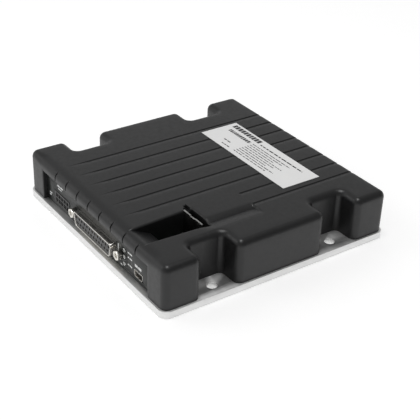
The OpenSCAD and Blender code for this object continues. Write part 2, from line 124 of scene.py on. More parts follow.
STEP_X = (40.5, 44.4, 51.9)           # start of the step's drop, its foot and the end of its rise
STEP_DEPTH = 1.5
SLOT_X = 25.2               # where the slot behind the terminals ends
SLOT_Y = (-32.6, -28.6)
SLOT_DEPTH = 1.8
SLOT_EDGE = 0.35            # width of its steep sides
WINDOW_HALF = 54.0
WINDOW_TOP = 21.5
WINDOW_EDGE = 0.4
JAMB = WINDOW_HALF + WINDOW_EDGE
WINDOW_BACK = panel_front + 0.02      # the reveal ends just inside the connector panel's face
PRINT_T = 0.02              # thickness of printed marks


class Shell:
    """Points and faces of one mesh, in millimetres."""

    def __init__(self):
        self.points = []
        self.faces = []

    def loop(self, points):
        """Adds points and returns their indices."""
        first = len(self.points)
        self.points += [tuple(p) for p in points]
        return list(range(first, len(self.points)))

    def band(self, lower, upper, closed=True):
        """Quads between two loops of equal length."""
        count = len(lower)
        for i in range(count if closed else count - 1):
            j = (i + 1) % count
            self.faces.append((lower[i], lower[j], upper[j], upper[i]))

    def stack(self, loops, closed=True):
        """Bands between each loop and the next."""
        for lower, upper in zip(loops, loops[1:]):
            self.band(lower, upper, closed)

    def fill(self, outer, holes=(), inner=(), lines=(), place=None, flat=lambda p: (p[0], p[1])):
        """Triangles between a loop and its holes; inner points and lines shape the surface."""
        fixed = [i for ring in (outer, *holes) for i in ring]
        coords = [Vector(flat(self.points[i])) for i in fixed]
        edges, first = [], 0
        for ring in (outer, *holes):
            edges += [(first + i, first + (i + 1) % len(ring)) for i in range(len(ring))]
            first += len(ring)
        for line in lines:
            edges += [(len(coords) + i, len(coords) + i + 1) for i in range(len(line) - 1)]
            coords += [Vector(p) for p in line]
        coords += [Vector(p) for p in inner]
        found, _, faces, origins, _, _ = delaunay_2d_cdt(coords, edges, [], 0, 1e-5, True)
        index = []
        for p, origin in zip(found, origins):
            known = [k for k in origin if k < len(fixed)]
            index.append(fixed[known[0]] if known else self.loop([place(p.x, p.y)])[0])
        flats = np.array([tuple(p) for p in found])
        centres = np.array([flats[list(f)].mean(0) for f in faces])
        rings = [np.array([flat(self.points[i]) for i in ring]) for ring in (outer, *holes)]
        keep = inside(centres, rings[0])
        for ring in rings[1:]:
            keep &= ~inside(centres, ring)
        self.faces += [tuple(index[i] for i in f) for f, k in zip(faces, keep) if k]

    def piece(self, name, material, sharp=35, rides=True):
        """An object with this mesh, which rides on the body unless it belongs to the stage."""
        mesh = bpy.data.meshes.new(name)
        mesh.from_pydata([Vector(p) * MM for p in self.points], [], self.faces)
        mesh.validate()
        clean(mesh)
        mesh.shade_smooth()
        mesh.set_sharp_from_angle(angle=math.radians(sharp))
        mesh.materials.append(material)
        obj = bpy.data.objects.new(name, mesh)
        bpy.context.scene.collection.objects.link(obj)
        if rides:
            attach(obj, ROOT)
        return obj


def clean(mesh):
    """Joins doubled points and turns every face outwards."""
    work = bmesh.new()
    work.from_mesh(mesh)
    bmesh.ops.remove_doubles(work, verts=work.verts, dist=1e-6)
    bmesh.ops.recalc_face_normals(work, faces=work.faces)
    work.to_mesh(mesh)
    work.free()


def inside(points, ring):
    """Which of the points lie inside a closed ring."""
    result = np.zeros(len(points), bool)
    x, y = points[:, 0], points[:, 1]
    for a, b in zip(ring, np.roll(ring, -1, axis=0)):
        crosses = (a[1] > y) != (b[1] > y)
        if a[1] != b[1]:
            result ^= crosses & (x < (b[0] - a[0]) * (y - a[1]) / (b[1] - a[1]) + a[0])
    return result


def gap_to_lines(points, lines):
    """Distance from each point to the nearest of some polylines."""
    best = np.full(len(points), 1e9)
    for line in lines:
        for a, b in zip(line, line[1:]):
            a, b = np.array(a), np.array(b)
            along = np.clip(((points - a) @ (b - a)) / max(1e-9, (b - a) @ (b - a)), 0, 1)
            best = np.minimum(best, np.hypot(*(points - a - along[:, None] * (b - a)).T))
    return best


def trace(corners, stations, arc_steps=8):
    """A rounded outline, counter-clockwise, as (point, outward normal) pairs.

    corners are (x, y, radius); stations(start, end) gives the points along a straight stretch.
    """
    samples = []
    for i, (x, y, r) in enumerate(corners):
        here = Vector((x, y))
        before = Vector(corners[i - 1][:2])
        ahead = corners[(i + 1) % len(corners)]
        d0 = (here - before).normalized()
        d1 = (Vector(ahead[:2]) - here).normalized()
        side = 1 if d0.cross(d1) > 0 else -1
        n0 = Vector((d0.y, -d0.x))
        n1 = Vector((d1.y, -d1.x))
        centre = here - d0 * r - n0 * r * side
        for t in between(0, math.pi / 2, arc_steps):
            n = n0 * math.cos(t) + n1 * math.sin(t)
            samples.append((centre + n * r * side, n))
        start = here + d1 * r
        end = Vector(ahead[:2]) - d1 * ahead[2]
        samples += [(p, n1) for p in stations(start, end)]
    return samples


def spaced(start, end, step=6.0):
    """Points strictly between two ends, no more than a step apart."""
    count = max(1, math.ceil((end - start).length / step))
    return [start.lerp(end, i / count) for i in range(1, count)]


def cover_columns():
    """The x values at which the cover's top bends: the grooves, the bay's edges and the step."""
    at_groove = (-0.65, -0.4, -0.3, -0.2, -0.1, 0, 0.2, 0.45, 0.65, 0.9, 1.15, 1.35, 1.8, 2.3, 3.0,
                 4.5, 6.5, 9)
    values = [g + u for g in GROOVES for u in at_groove]
    rim = (*BAY_RIM_STEPS, BAY_LIP)
    values += [BAY_FRONT_X[0] - e for e in rim] + [BAY_FRONT_X[1] + e for e in rim]
    values += [STEP_X[0] + u for u in (0, 0.7, 1.4, 2.1, 2.8, 3.4, 3.9, 4.4, 5.2, 6.5, 8.7, 11.4)]
    values += [SLOT_X + u for u in (0, 0.5, 1, 1.5, 2, 2.5, 3, 3.5, 4)]
    values += [-62, -59.5, -57, -55.9, -52, -49, -45.5, 59.5, 57, 55.9, 62]
    values += [-JAMB, JAMB]
    least_gap = 0.045
    kept = []
    for v in sorted(values):
        if not kept or v - kept[-1] > least_gap:
            kept.append(v)
    return kept


COLUMNS = cover_columns()


def cover_stations(start, end):
    """Stations along one side of the cover: the columns at the front and back, even ones elsewhere."""
    if abs(start.y - end.y) > TOUCH or abs(start.y) < HALF - TOUCH:
        return spaced(start, end)
    corner_gap = 0.3
    columns = [x for x in COLUMNS if abs(x) < HALF - CORNER_R - corner_gap]
    if start.x > end.x:
        columns.reverse()
    return [Vector((x, start.y)) for x in columns]


def cover_corners():
    """The plan of the cover: a square with four bolt pockets in its sides."""
    near = PITCH_Y / 2 - POCKET_W / 2
    far = PITCH_Y / 2 + POCKET_W / 2
    right = [(HALF, -HALF, CORNER_R), (HALF, -far, CORNER_R), (SPINE_HALF, -far, POCKET_R),
             (SPINE_HALF, -near, POCKET_R), (HALF, -near, CORNER_R), (HALF, near, CORNER_R),
             (SPINE_HALF, near, POCKET_R), (SPINE_HALF, far, POCKET_R), (HALF, far, CORNER_R),
             (HALF, HALF, CORNER_R)]
    left = [(-x, -y, r) for x, y, r in right]
    return right + left


def on_front(p):
    """Whether a place on the outline is on the cover's front face."""
    return p.y < -HALF + TOUCH


def window_stations(outline):
    """Places in the outline over the window, from its left jamb to its right one."""
    found = [i for i, (p, _) in enumerate(outline) if on_front(p) and abs(p.x) < JAMB + TOUCH]
    return sorted(found, key=lambda i: outline[i][0].x)


def edge_size(p):
    """Width and height of the top edge's rounding at a place on the outline."""
    share = smooth((EDGE_BLEND[0] - abs(p.x)) / (EDGE_BLEND[0] - EDGE_BLEND[1]))
    share = share if on_front(p) else 0
    return [a + (b - a) * share for a, b in zip(SIDE_EDGE, FRONT_EDGE)]


def groove_depth(x):
    """Depth of the grooves: each drops steeply and rises softly towards +X."""
    for g in GROOVES:
        u = x - g
        if -GROOVE_STEEP < u <= 0:
            return GROOVE_DEPTH * smooth(u / GROOVE_STEEP + 1)
        if 0 < u < GROOVE_SOFT:
            return GROOVE_DEPTH * (1 - u / GROOVE_SOFT) ** 1.7
    return 0.0


def bay_sides(y):
    """The bay's left and right wall at a distance along it: it widens towards the back."""
    t = max(0.0, (y - BAY_TAPER_Y) / (BAY_BACK - BAY_TAPER_Y))
    return [a + (b - a) * t for a, b in zip(BAY_FRONT_X, BAY_BACK_X)]


def bay_offset(x, y):
    """Distance from the bay's wall: positive outside the opening, negative within."""
    left, right = bay_sides(y)
    middle = (left + right) / 2
    across = abs(x - middle) - (right - middle - BAY_CORNER)
    along = y - (BAY_BACK - BAY_CORNER)
    if across > 0 and along > 0:
        return math.hypot(across, along) - BAY_CORNER
    return max(across, along) - BAY_CORNER


def bay_depth(x, y):
    """Depth of the bay's ramp, walls and rounded rim below the top."""
    start, brink, foot = RAMP_Y
    if y < start:
        return 0.0
    slope = RAMP_Z[0] / (brink - start)
    t = (y - start) / RAMP_SOFT
    ramp = slope * (y - start - RAMP_SOFT / 2) if t > 1 else slope * RAMP_SOFT * t * t / 2
    if y > brink:
        ramp += (RAMP_Z[1] - ramp) * min(1.0, (y - brink) / (foot - brink)) ** 1.5
    e = bay_offset(x, y)
    if e >= BAY_RIM:
        return 0.0
    if e < BAY_LIP / 2:
        return ramp
    e = max(0.0, e)
    return min(ramp, BAY_RIM - math.sqrt(BAY_RIM ** 2 - (BAY_RIM - e) ** 2))


def step_drop(x, y):
    """Depth of the step behind the bay: a rounded drop towards +X and a long rise after it."""
    end_width, end_middle = 0.9, 0.4
    bay_start, bay_width = -36, 8
    if not STEP_X[0] < x < STEP_X[2] or y > STEP_END_Y + 0.5:
        return 0.0
    if x < STEP_X[1]:
        drop = ((x - STEP_X[0]) / (STEP_X[1] - STEP_X[0])) ** 1.8
    else:
        drop = (1 - (x - STEP_X[1]) / (STEP_X[2] - STEP_X[1])) ** 1.2
    at_end = smooth((STEP_END_Y + end_middle - y) / end_width)
    return STEP_DEPTH * drop * at_end * smooth((y - bay_start) / bay_width)


def slot_depth(x, y):
    """Depth of the slot's slanted end beside the bay."""
    across = min(x - SLOT_X - (SLOT_Y[1] - y), y - SLOT_Y[0], SLOT_Y[1] - y)
    return SLOT_DEPTH * smooth(across / SLOT_EDGE) if x < BAY_BACK_X[0] + 2 else 0.0


def groove_share(x, y):
    """How much of a groove is left: none behind the front edge, and none before the step's end."""
    share = smooth((y - GROOVE_FADE[0]) / (GROOVE_FADE[1] - GROOVE_FADE[0]))
    if BAY_BACK_X[0] - 0.5 < x < STEP_X[2]:
        share *= smooth((y - STEP_END_Y) / 0.8)
    return share


def notch_depth(x, y):
    """Depth of the narrow notches that carry the grooves down the front face."""
    near = min(abs(x - g - NOTCH_SHIFT) for g in GROOVES)
    floor_y = -HALF + NOTCH_DEPTH * smooth((NOTCH_HALF - near) / NOTCH_HALF * 1.6)
    return max(0.0, floor_y - y)


def top_height(x, y):
    """Height of the cover's top."""
    groove = groove_depth(x) * groove_share(x, y)
    return TOP - groove - step_drop(x, y) - max(bay_depth(x, y), slot_depth(x, y))


def cover_rows():
    """The y values at which the cover's top has rows of points."""
    values = between(-61, -54.5, 7) + between(-49, -31, 5) + [-29, -26.2, -25, -22, -18, -14, -10, -6]
    values += [STEP_END_Y + u for u in (-4, -2, -1, -0.5, -0.1, 0.3, 0.8, 1.6, 3)] + between(9, 61, 13)
    for y, inward in ((SLOT_Y[0], 1), (SLOT_Y[1], -1)):
        values += [y + inward * u * SLOT_EDGE for u in (0, 0.25, 0.5, 0.75, 1)]
    return values + [-60.5] + between(RAMP_Y[1], RAMP_Y[2], 4)


def bay_line(e, front):
    """The bay's wall line in plan, grown by e: up one side, round the back and down the other."""
    rows = sorted(set(y for y in cover_rows() if front <= y < BAY_BACK - BAY_CORNER - 0.2))
    radius = BAY_CORNER + e
    right = [(bay_sides(y)[1] + e, y) for y in rows]
    for t in between(0, math.pi / 2, 6):
        right.append((BAY_BACK_X[1] - BAY_CORNER + radius * math.cos(t),
                      BAY_BACK - BAY_CORNER + radius * math.sin(t)))
    left = [(sum(bay_sides(y)) - x, y) for x, y in reversed(right)]
    across = [(x, BAY_BACK + e) for x in between(BAY_BACK_X[1] - 3, BAY_BACK_X[0] + 3, 6)]
    return right + across + left


def back_fade(z):
    """How much of a groove is left at a height on the back wall."""
    return smooth((z - BACK_FADE[0]) / (BACK_FADE[1] - BACK_FADE[0]))


def add_outer_skin(shell, outline):
    """Side walls, rounded edges and top. Returns the lowest loop's columns and the chute's hole."""
    columns = []
    for p, n in outline:
        width, height = edge_size(p)
        back = p.y > HALF - TOUCH
        column = []
        for z in WALL_Z:
            cut = n * groove_depth(p.x) * (back_fade(z) if back else 0)
            column.append((p.x - cut.x, p.y - cut.y, z))
        for t in between(0, math.pi / 2, 9):
            base = p - n * width * (1 - math.cos(t))
            z = TOP - height * (1 - math.sin(t))
            facing = Vector((math.cos(t) / width, math.sin(t) / height)).normalized()
            fade = back_fade(z) if back else 1
            deep = groove_depth(p.x) * fade if abs(n.y) > 0.99 else 0
            deep *= groove_share(base.x, base.y)
            base -= n * facing.x * deep
            if n.y < -0.99:
                base.y += notch_depth(base.x, base.y)
            z -= facing.y * deep + bay_depth(base.x, base.y)
            column.append((base.x, base.y, z))
        columns.append(column)
    grid = [shell.loop(c) for c in columns]
    open_stations = set(window_stations(outline))
    for i, here in enumerate(grid):
        j = (i + 1) % len(grid)
        after = grid[j]
        over_window = i in open_stations and j in open_stations
        for k in range(len(WALL_Z) if over_window else 0, len(here) - 1):
            shell.faces.append((here[k], after[k], after[k + 1], here[k + 1]))
    top_loop = [column[-1] for column in grid]

    wall_gap, ring_gap, line_gap = 0.2, 0.8, 0.12
    foot_y = RAMP_Y[2]
    hole_side = bay_line(BAY_LIP, foot_y)
    foot_x = bay_sides(foot_y)
    hole_front = [(x, foot_y) for x in COLUMNS if foot_x[0] + wall_gap < x < foot_x[1] - wall_gap]
    hole = shell.loop([(x, y, TOP - RAMP_Z[1]) for x, y in hole_side + hole_front])
    lines = [bay_line(e, BAY_TAPER_Y) for e in BAY_RIM_STEPS]
    lip = bay_line(BAY_LIP, BAY_TAPER_Y)
    front_part = [p for p in lip if p[1] < foot_y]
    middle = sum(foot_x) / 2
    lines += [[p for p in front_part if p[0] > middle], [p for p in front_part if p[0] < middle]]
    ring = [tuple(Vector(shell.points[i]).to_2d()) for i in top_loop]
    points = np.array([(x, y) for x in COLUMNS for y in sorted(set(cover_rows()))])
    keep = inside(points, np.array(ring)) & (gap_to_lines(points, [ring + ring[:1]]) > ring_gap)
    keep &= gap_to_lines(points, lines + [lip]) > line_gap
    in_hole = np.array([bay_offset(x, y) < 0 and y >= foot_y - 0.1 for x, y in points])
    shell.fill(top_loop, [hole], [tuple(p) for p in points[keep & ~in_hole]], lines,
               lambda x, y: (x, y, top_height(x, y)))
    return grid, hole


def add_window(shell, outline, grid):
    """The rounded edge and the reveal of the window over the connector panel."""
    edge_row = len(WALL_Z)
    front = window_stations(outline)
    left, right = grid[front[0]], grid[front[-1]]
    path = left[:edge_row] + [grid[i][edge_row] for i in front] + right[:edge_row][::-1]
    rings = [path]
    for t in (30, 60, 90):
        grow = WINDOW_EDGE * (1 - math.sin(math.radians(t)))
        y = -HALF + WINDOW_EDGE * (1 - math.cos(math.radians(t)))
        rings.append(window_ring(shell, path, grow, y, t / 90))
    rings.append(window_ring(shell, path, 0, WINDOW_BACK, 1))
    shell.stack(rings, closed=False)
    return rings


def window_ring(shell, path, grow, y, share):
    """One ring of the window's edge, at a distance outside its opening."""
    ring = []
    for i in path:
        x, y0, z = shell.points[i]
        side = abs(x) > JAMB - TOUCH
        notch = max(0.0, y0 + HALF) * (1 - 0.5 * share)
        x = math.copysign(WINDOW_HALF + grow, x) if side else x
        x = max(-WINDOW_HALF - grow, min(WINDOW_HALF + grow, x))
        z = min(z, WINDOW_TOP + grow)
        ring.append((x, y + (notch if not side and y < -HALF + 1 else 0), z))
    return shell.loop(ring)


def add_inner_skin(shell, outline, grid, window, chute):
    """The hollow inside: walls, roof, the bay's chute and the rim that stands on the plate."""
    front = window_stations(outline)
    start, end = front[-1], front[0]
    count = len(outline)
    walk = [(start + k) % count for k in range((end - start) % count + 1)]
    lows = len(WALL_Z)
    inner = []
    for i in walk:
        p, n = outline[i]
        q = p - n * WALL
        at_front = n.y < -0.999 and on_front(p)
        inner.append(shell.loop([(q.x, WINDOW_BACK if at_front else q.y, z)
                                 for z in WALL_Z + (ROOF_Z,)]))
    for k in range(len(walk) - 1):
        a, b = inner[k], inner[k + 1]
        for r in range(lows):
            shell.faces.append((b[r], a[r], a[r + 1], b[r + 1]))
        shell.faces.append((grid[walk[k]][0], a[0], b[0], grid[walk[k + 1]][0]))
    back = window[-1]
    sides = ((inner[0], back[::-1], [ring[-1] for ring in window]),
             (inner[-1], back, [ring[0] for ring in window]))
    for column, ring, foot in sides:
        for r in range(lows - 1):
            shell.faces.append((column[r], ring[r], ring[r + 1], column[r + 1]))
        shell.faces.append(tuple(foot) + (column[0],))
    lintel = back[lows:-lows]
    roof_front = shell.loop([(shell.points[i][0], WINDOW_BACK, ROOF_Z) for i in lintel])
    shell.band(lintel, roof_front, closed=False)
    shell.faces.append((inner[-1][-2], back[lows - 1], lintel[0], roof_front[0], inner[-1][-1]))
    shell.faces.append((inner[0][-2], back[-lows], lintel[-1], roof_front[-1], inner[0][-1]))
    roof = [column[-1] for column in inner] + roof_front
    x0, x1 = BAY_BACK_X[0] - CHUTE_WALL, BAY_BACK_X[1] + CHUTE_WALL
    back_y = BAY_BACK + CHUTE_WALL
    front_y = RAMP_Y[2] - 1.0
    ramp_start_y, brink_y, brink_z = RAMP_Y[1] - 8.2, RAMP_Y[1] - 0.8, TOP - RAMP_Z[0] - 1.9
    profile = [(ramp_start_y, ROOF_Z), (brink_y, brink_z), (front_y, 15), (front_y, CHUTE_Z),
               (back_y, CHUTE_Z), (back_y, ROOF_Z)]
    left, right = [shell.loop([(x, y, z) for y, z in profile]) for x in (x0, x1)]
    for i in (0, 1, 2, 4):
        shell.faces.append((left[i], right[i], right[i + 1], left[i + 1]))
    shell.faces += [tuple(left), tuple(right)]
    shell.fill(roof, [[left[0], right[0], right[5], left[5]]])
    foot = shell.loop([(*shell.points[i][:2], CHUTE_Z) for i in chute])
    shell.band(foot, chute)
    shell.fill([left[3], right[3], right[4], left[4]], [foot])


def make_cover(material):
    """The moulded cover, as one closed shell."""
    shell = Shell()
    outline = trace(cover_corners(), cover_stations)
    grid, chute = add_outer_skin(shell, outline)
    window = add_window(shell, outline, grid)
    add_inner_skin(shell, outline, grid, window, chute)
    cover = shell.piece("cover_shell", material, sharp=38)
    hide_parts("cover")


# ---------------------------------------------------------------- materials
class Finish:
    """A Principled material and short calls for the nodes that drive it."""

    def __init__(self, name, rough=0.5, metal=0.0, **inputs):
        self.material = bpy.data.materials.new(name)
        self.material.use_nodes = True
        self.nodes = self.material.node_tree.nodes
        self.links = self.material.node_tree.links
        self.shader = self.nodes["Principled BSDF"]
        self.set("Roughness", rough)
        self.set("Metallic", metal)
        for socket, value in inputs.items():
            self.set(socket.replace("_", " "), value)
        self.place = self.nodes.new("ShaderNodeTexCoord").outputs["Object"]

    def set(self, socket, value):
        """Sets one of the shader's sockets to a value or links a node to it."""
        target = self.shader.inputs[socket]
        if isinstance(value, bpy.types.NodeSocket):
            self.links.new(value, target)
        else:
            target.default_value = value

    def node(self, kind, inputs, **settings):
        """A node with its inputs set or linked."""
        node = self.nodes.new(kind)
        for key, value in settings.items():
            setattr(node, key, value)
        for key, value in inputs.items():
            if isinstance(value, bpy.types.NodeSocket):
                self.links.new(value, node.inputs[key])
            else:
                node.inputs[key].default_value = value
        return node

    def noise(self, size_mm, detail=3.0, roughness=0.55, stretch=(1, 1, 1)):
        """Noise with features of about a size; stretch makes it longer along an axis."""
        scaled = self.node("ShaderNodeMapping", {"Vector": self.place,
                                                 "Scale": [1 / s for s in stretch]})
        return self.node("ShaderNodeTexNoise",
                         {"Vector": scaled.outputs[0], "Scale": 1000 / size_mm,
                          "Detail": detail, "Roughness": roughness}).outputs["Fac"]

    def span(self, value, low, high, to_low, to_high):
        """Maps a value from one range to another, clamped."""
        return self.node("ShaderNodeMapRange", {"Value": value, "From Min": low, "From Max": high,
                                                "To Min": to_low, "To Max": to_high}).outputs[0]

    def blend(self, share, a, b):
        """A mix of two colours, each a value or a node's output."""
        node = self.node("ShaderNodeMix", {0: share}, data_type="RGBA")
        for socket, colour in ((6, a), (7, b)):
            if isinstance(colour, bpy.types.NodeSocket):
                self.links.new(colour, node.inputs[socket])
            else:
                node.inputs[socket].default_value = (*colour, 1)
        return node.outputs[2]

    def bump(self, height, depth_mm, strength, under=None):
        """A normal with a relief of some depth, on top of another one if given."""
        inputs = {"Height": height, "Distance": depth_mm * MM, "Strength": strength}
        if under is not None:
            inputs["Normal"] = under
        return self.node("ShaderNodeBump", inputs).outputs[0]


def moulded(name, colour, lighter, rough, grain_mm=0.35, grain_depth=0.012, specular=0.5):
    """Moulded plastic: an eroded grain, faint flow marks and slow changes of gloss."""
    f = Finish(name, Specular_IOR_Level=specular)
    flow = f.noise(28, 2.0, stretch=(1, 2.5, 1))
    fine = f.noise(2.2, 4.0)
    f.set("Base Color", f.blend(f.span(flow, 0.35, 0.7, 0, 1), colour, lighter))
    f.set("Roughness", f.span(fine, 0.3, 0.7, rough - 0.05, rough + 0.05))
    grain = f.noise(grain_mm, 3.0, 0.6)
    f.set("Normal", f.bump(grain, grain_depth, 0.6, f.bump(flow, 0.02, 0.5)))
    return f.material


def anodised(name, colour, rough, grain_mm=0.18):
    """Bead-blasted aluminium with a clear anodised skin and faint handling marks."""
    f = Finish(name, metal=1.0)
    cloud = f.noise(22, 3.0)
    speck = f.noise(grain_mm, 2.0, 0.5)
    marks = f.noise(3.5, 5.0, 0.7, stretch=(6, 1, 1))
    darker = tuple(c * 0.93 for c in colour)
    f.set("Base Color", f.blend(f.span(cloud, 0.3, 0.75, 0, 1), colour, darker))
    f.set("Roughness", f.span(marks, 0.45, 0.8, rough, rough + 0.1))
    f.set("Normal", f.bump(speck, 0.008, 0.5))
    return f.material


def plated(name, colour, rough, streak=(1, 1, 1)):
    """Bright plating: faint drawing streaks, dull patches and fine pores."""
    f = Finish(name, metal=1.0)
    dull = f.noise(4.0, 3.0)
    lines = f.noise(0.35, 2.0, stretch=streak)
    darker = tuple(c * 0.88 for c in colour)
    f.set("Base Color", f.blend(f.span(dull, 0.4, 0.8, 0, 1), colour, darker))
    f.set("Roughness", f.span(dull, 0.3, 0.8, rough, rough + 0.14))
    f.set("Normal", f.bump(lines, 0.004, 0.5))
    return f.material


def gloss(name, colour, rough, mottle=0.9, **inputs):
    """Smooth moulded or coated parts, with slight mottling and orange peel."""
    f = Finish(name, **inputs)
    cloud = f.noise(6.0, 3.0)
    f.set("Base Color", f.blend(cloud, colour, tuple(c * mottle for c in colour)))
    f.set("Roughness", f.span(f.noise(1.4, 4.0), 0.3, 0.7, rough, rough + 0.12))
    f.set("Normal", f.bump(f.noise(0.8), 0.006, 0.4))
    return f.material


def board_finish(name):
    """Solder mask over copper: broad pours, thin tracks and the weave of the glass cloth."""
    f = Finish(name, Coat_Weight=0.3, Coat_Roughness=0.2)
    tracks = f.node("ShaderNodeTexBrick", {"Vector": f.place, "Scale": 160.0, "Mortar Size": 0.03,
                                           "Color1": (1, 1, 1, 1), "Color2": (0.8, 0.8, 0.8, 1),
                                           "Mortar": (0, 0, 0, 1)}, offset=0.37).outputs["Fac"]
    pours = f.span(f.noise(9, 2.0), 0.48, 0.5, 0, 1)
    base = f.blend(pours, (0.012, 0.05, 0.022), (0.02, 0.085, 0.035))
    f.set("Base Color", f.blend(tracks, base, (0.03, 0.12, 0.05)))
    f.set("Roughness", f.span(f.noise(1.2), 0.3, 0.7, 0.28, 0.42))
    weave = f.node("ShaderNodeTexWave", {"Vector": f.place, "Scale": 330.0, "Distortion": 0.6})
    f.set("Normal", f.bump(weave.outputs["Fac"], 0.01, 0.4, f.bump(tracks, 0.03, 0.6)))
    return f.material


def printed_film(name):
    """Satin white label film with a slight texture and a warmer tint in places."""
    f = Finish(name, Specular_IOR_Level=0.4)
    f.set("Base Color", f.blend(f.noise(14, 2.0), (0.89, 0.89, 0.89), (0.94, 0.94, 0.93)))
    f.set("Roughness", f.span(f.noise(0.9), 0.3, 0.7, 0.38, 0.5))
    f.set("Normal", f.bump(f.noise(0.5), 0.004, 0.5))
    return f.material


def ink(name, colour):
    """Screen-printed ink with uneven cover."""
    f = Finish(name)
    f.set("Base Color", f.blend(f.noise(0.25, 2.0), colour, tuple(min(1, c * 1.3) for c in colour)))
    f.set("Roughness", f.span(f.noise(0.6), 0.3, 0.7, 0.35, 0.55))
    return f.material


def clear_lens(name):
    """Clear moulded plastic, slightly milky."""
    f = Finish(name, rough=0.12, IOR=1.49, Transmission_Weight=0.55)
    f.set("Base Color", f.blend(f.noise(0.9), (0.75, 0.77, 0.74), (0.86, 0.87, 0.85)))
    f.set("Normal", f.bump(f.noise(0.7), 0.004, 0.4))
    return f.material


FINISHES = {
    "cover_plastic": moulded("cover_plastic", (0.0075, 0.0076, 0.0080), (0.0095, 0.0096, 0.0100), 0.40),
    "panel_plastic": moulded("panel_plastic", (0.008, 0.010, 0.009), (0.010, 0.012, 0.011), 0.42, 0.5),
    "plate_aluminium": anodised("plate_aluminium", (0.80, 0.80, 0.795), 0.42),
    "label_film": printed_film("label_film"),
    "gap_pad": gloss("gap_pad", (0.34, 0.40, 0.52), 0.7),
    "board_laminate": board_finish("board_laminate"),
    "zinc_steel": plated("zinc_steel", (0.66, 0.67, 0.68), 0.28),
    "nickel_shell": plated("nickel_shell", (0.72, 0.70, 0.66), 0.2, (12, 1, 1)),
    "nickel_brass": plated("nickel_brass", (0.76, 0.74, 0.69), 0.22, (1, 8, 1)),
    "connector_plastic": moulded("connector_plastic", (0.022, 0.022, 0.022), (0.03, 0.03, 0.029), 0.38),
    "gold_plate": plated("gold_plate", (0.86, 0.62, 0.26), 0.22),
    "tin_plate": plated("tin_plate", (0.45, 0.45, 0.44), 0.14, (1, 1, 9)),
    "light_pipe": clear_lens("light_pipe"),
    "led_body": gloss("led_body", (0.80, 0.79, 0.72), 0.3),
    "chip_epoxy": moulded("chip_epoxy", (0.02, 0.02, 0.021), (0.028, 0.028, 0.029), 0.6, 0.2),
    "capacitor_sleeve": gloss("capacitor_sleeve", (0.02, 0.03, 0.07), 0.22),
    "shunt_alloy": plated("shunt_alloy", (0.5, 0.42, 0.35), 0.4, (8, 1, 1)),
    "ferrite": moulded("ferrite", (0.05, 0.05, 0.053), (0.07, 0.07, 0.073), 0.62, 0.5, 0.03),
    "capacitor_ceramic": gloss("capacitor_ceramic", (0.42, 0.31, 0.20), 0.4),
}
PRINT_BLACK = ink("print_black", (0.02, 0.02, 0.022))
PRINT_WHITE = ink("print_white", (0.72, 0.73, 0.72))


def dress_cad_nodes():
    """Gives each CAD node the finish of its slot in the record."""
    for name, obj in frame["nodes"].items():
        obj.data.materials.clear()
        obj.data.materials.append(FINISHES[SLOTS[name]])


# ---------------------------------------------------------------- stage
BRIGHT_SIDE = (-0.9, -0.35, 0.25)     # direction of the surround's bright side
SIDE_LIGHT = (0.2, 0.75)              # its strength on the far side and on the bright side
ZENITH_LIGHT = 0.5                    # share of it that is left overhead
FLOOR_GLOW = 0.36
KEY_POWER = 1.5
TOP_POWER = 10


def area_light(name, place, aim, size, power):
    """A round soft light, aimed at a point."""
    data = bpy.data.lights.new(name, "AREA")
    data.shape = "DISK"
    data.size = size
    data.energy = power
    obj = bpy.data.objects.new(name, data)
    obj.location = place
    obj.rotation_euler = (Vector(aim) - Vector(place)).to_track_quat("-Z", "Y").to_euler()
    bpy.context.scene.collection.objects.link(obj)


def make_surround():
    """A surround that is bright at the horizon, brightest towards the front left, dim overhead."""
    world = bpy.data.worlds.new("surround")
    world.use_nodes = True
    nodes, links = world.node_tree.nodes, world.node_tree.links
    backdrop = nodes["Background"]
    backdrop.inputs["Color"].default_value = (1, 1, 1, 1)
    direction = nodes.new("ShaderNodeTexCoord").outputs["Generated"]

    def along(axis, low, high, to_low, to_high):
        """Strength by how far a direction points along an axis."""
        dot = nodes.new("ShaderNodeVectorMath")
        dot.operation = "DOT_PRODUCT"
        links.new(direction, dot.inputs[0])
        dot.inputs[1].default_value = axis
        span = nodes.new("ShaderNodeMapRange")
        links.new(dot.outputs["Value"], span.inputs["Value"])
        for name, value in zip(("From Min", "From Max", "To Min", "To Max"), (low, high, to_low, to_high)):
            span.inputs[name].default_value = value
        return span.outputs[0]

    product = nodes.new("ShaderNodeMath")
    product.operation = "MULTIPLY"
    links.new(along(BRIGHT_SIDE, -1, 1, *SIDE_LIGHT), product.inputs[0])
    links.new(along((0, 0, 1), 0.2, 0.9, 1, ZENITH_LIGHT), product.inputs[1])
    links.new(product.outputs[0], backdrop.inputs["Strength"])
    bpy.context.scene.world = world


def make_stage():
    """A pale floor that glows a little, a bright surround and two soft lights."""
    shell = Shell()
    reach = 3000
    grid = between(-reach, reach, 6)
    gap = 0.02
    rows = [shell.loop([(x, y, -gap) for x in grid]) for y in grid]
    shell.stack(rows, closed=False)
    finish = Finish("floor_paper", rough=0.9, Specular_IOR_Level=0.1)
    finish.set("Base Color", finish.blend(finish.noise(300, 2.0), (0.90, 0.90, 0.90), (0.92, 0.92, 0.92)))
    finish.set("Emission Color", (1, 1, 1, 1))
    finish.set("Emission Strength", FLOOR_GLOW)
    shell.piece("floor", finish.material, rides=False)
    make_surround()
    area_light("key_softbox", (-0.9, -1.0, 0.9), (0, 0, 0.02), 0.7, KEY_POWER)
    area_light("top_softbox", (0.1, -0.1, 1.6), (0, 0, 0), 0.6, TOP_POWER)


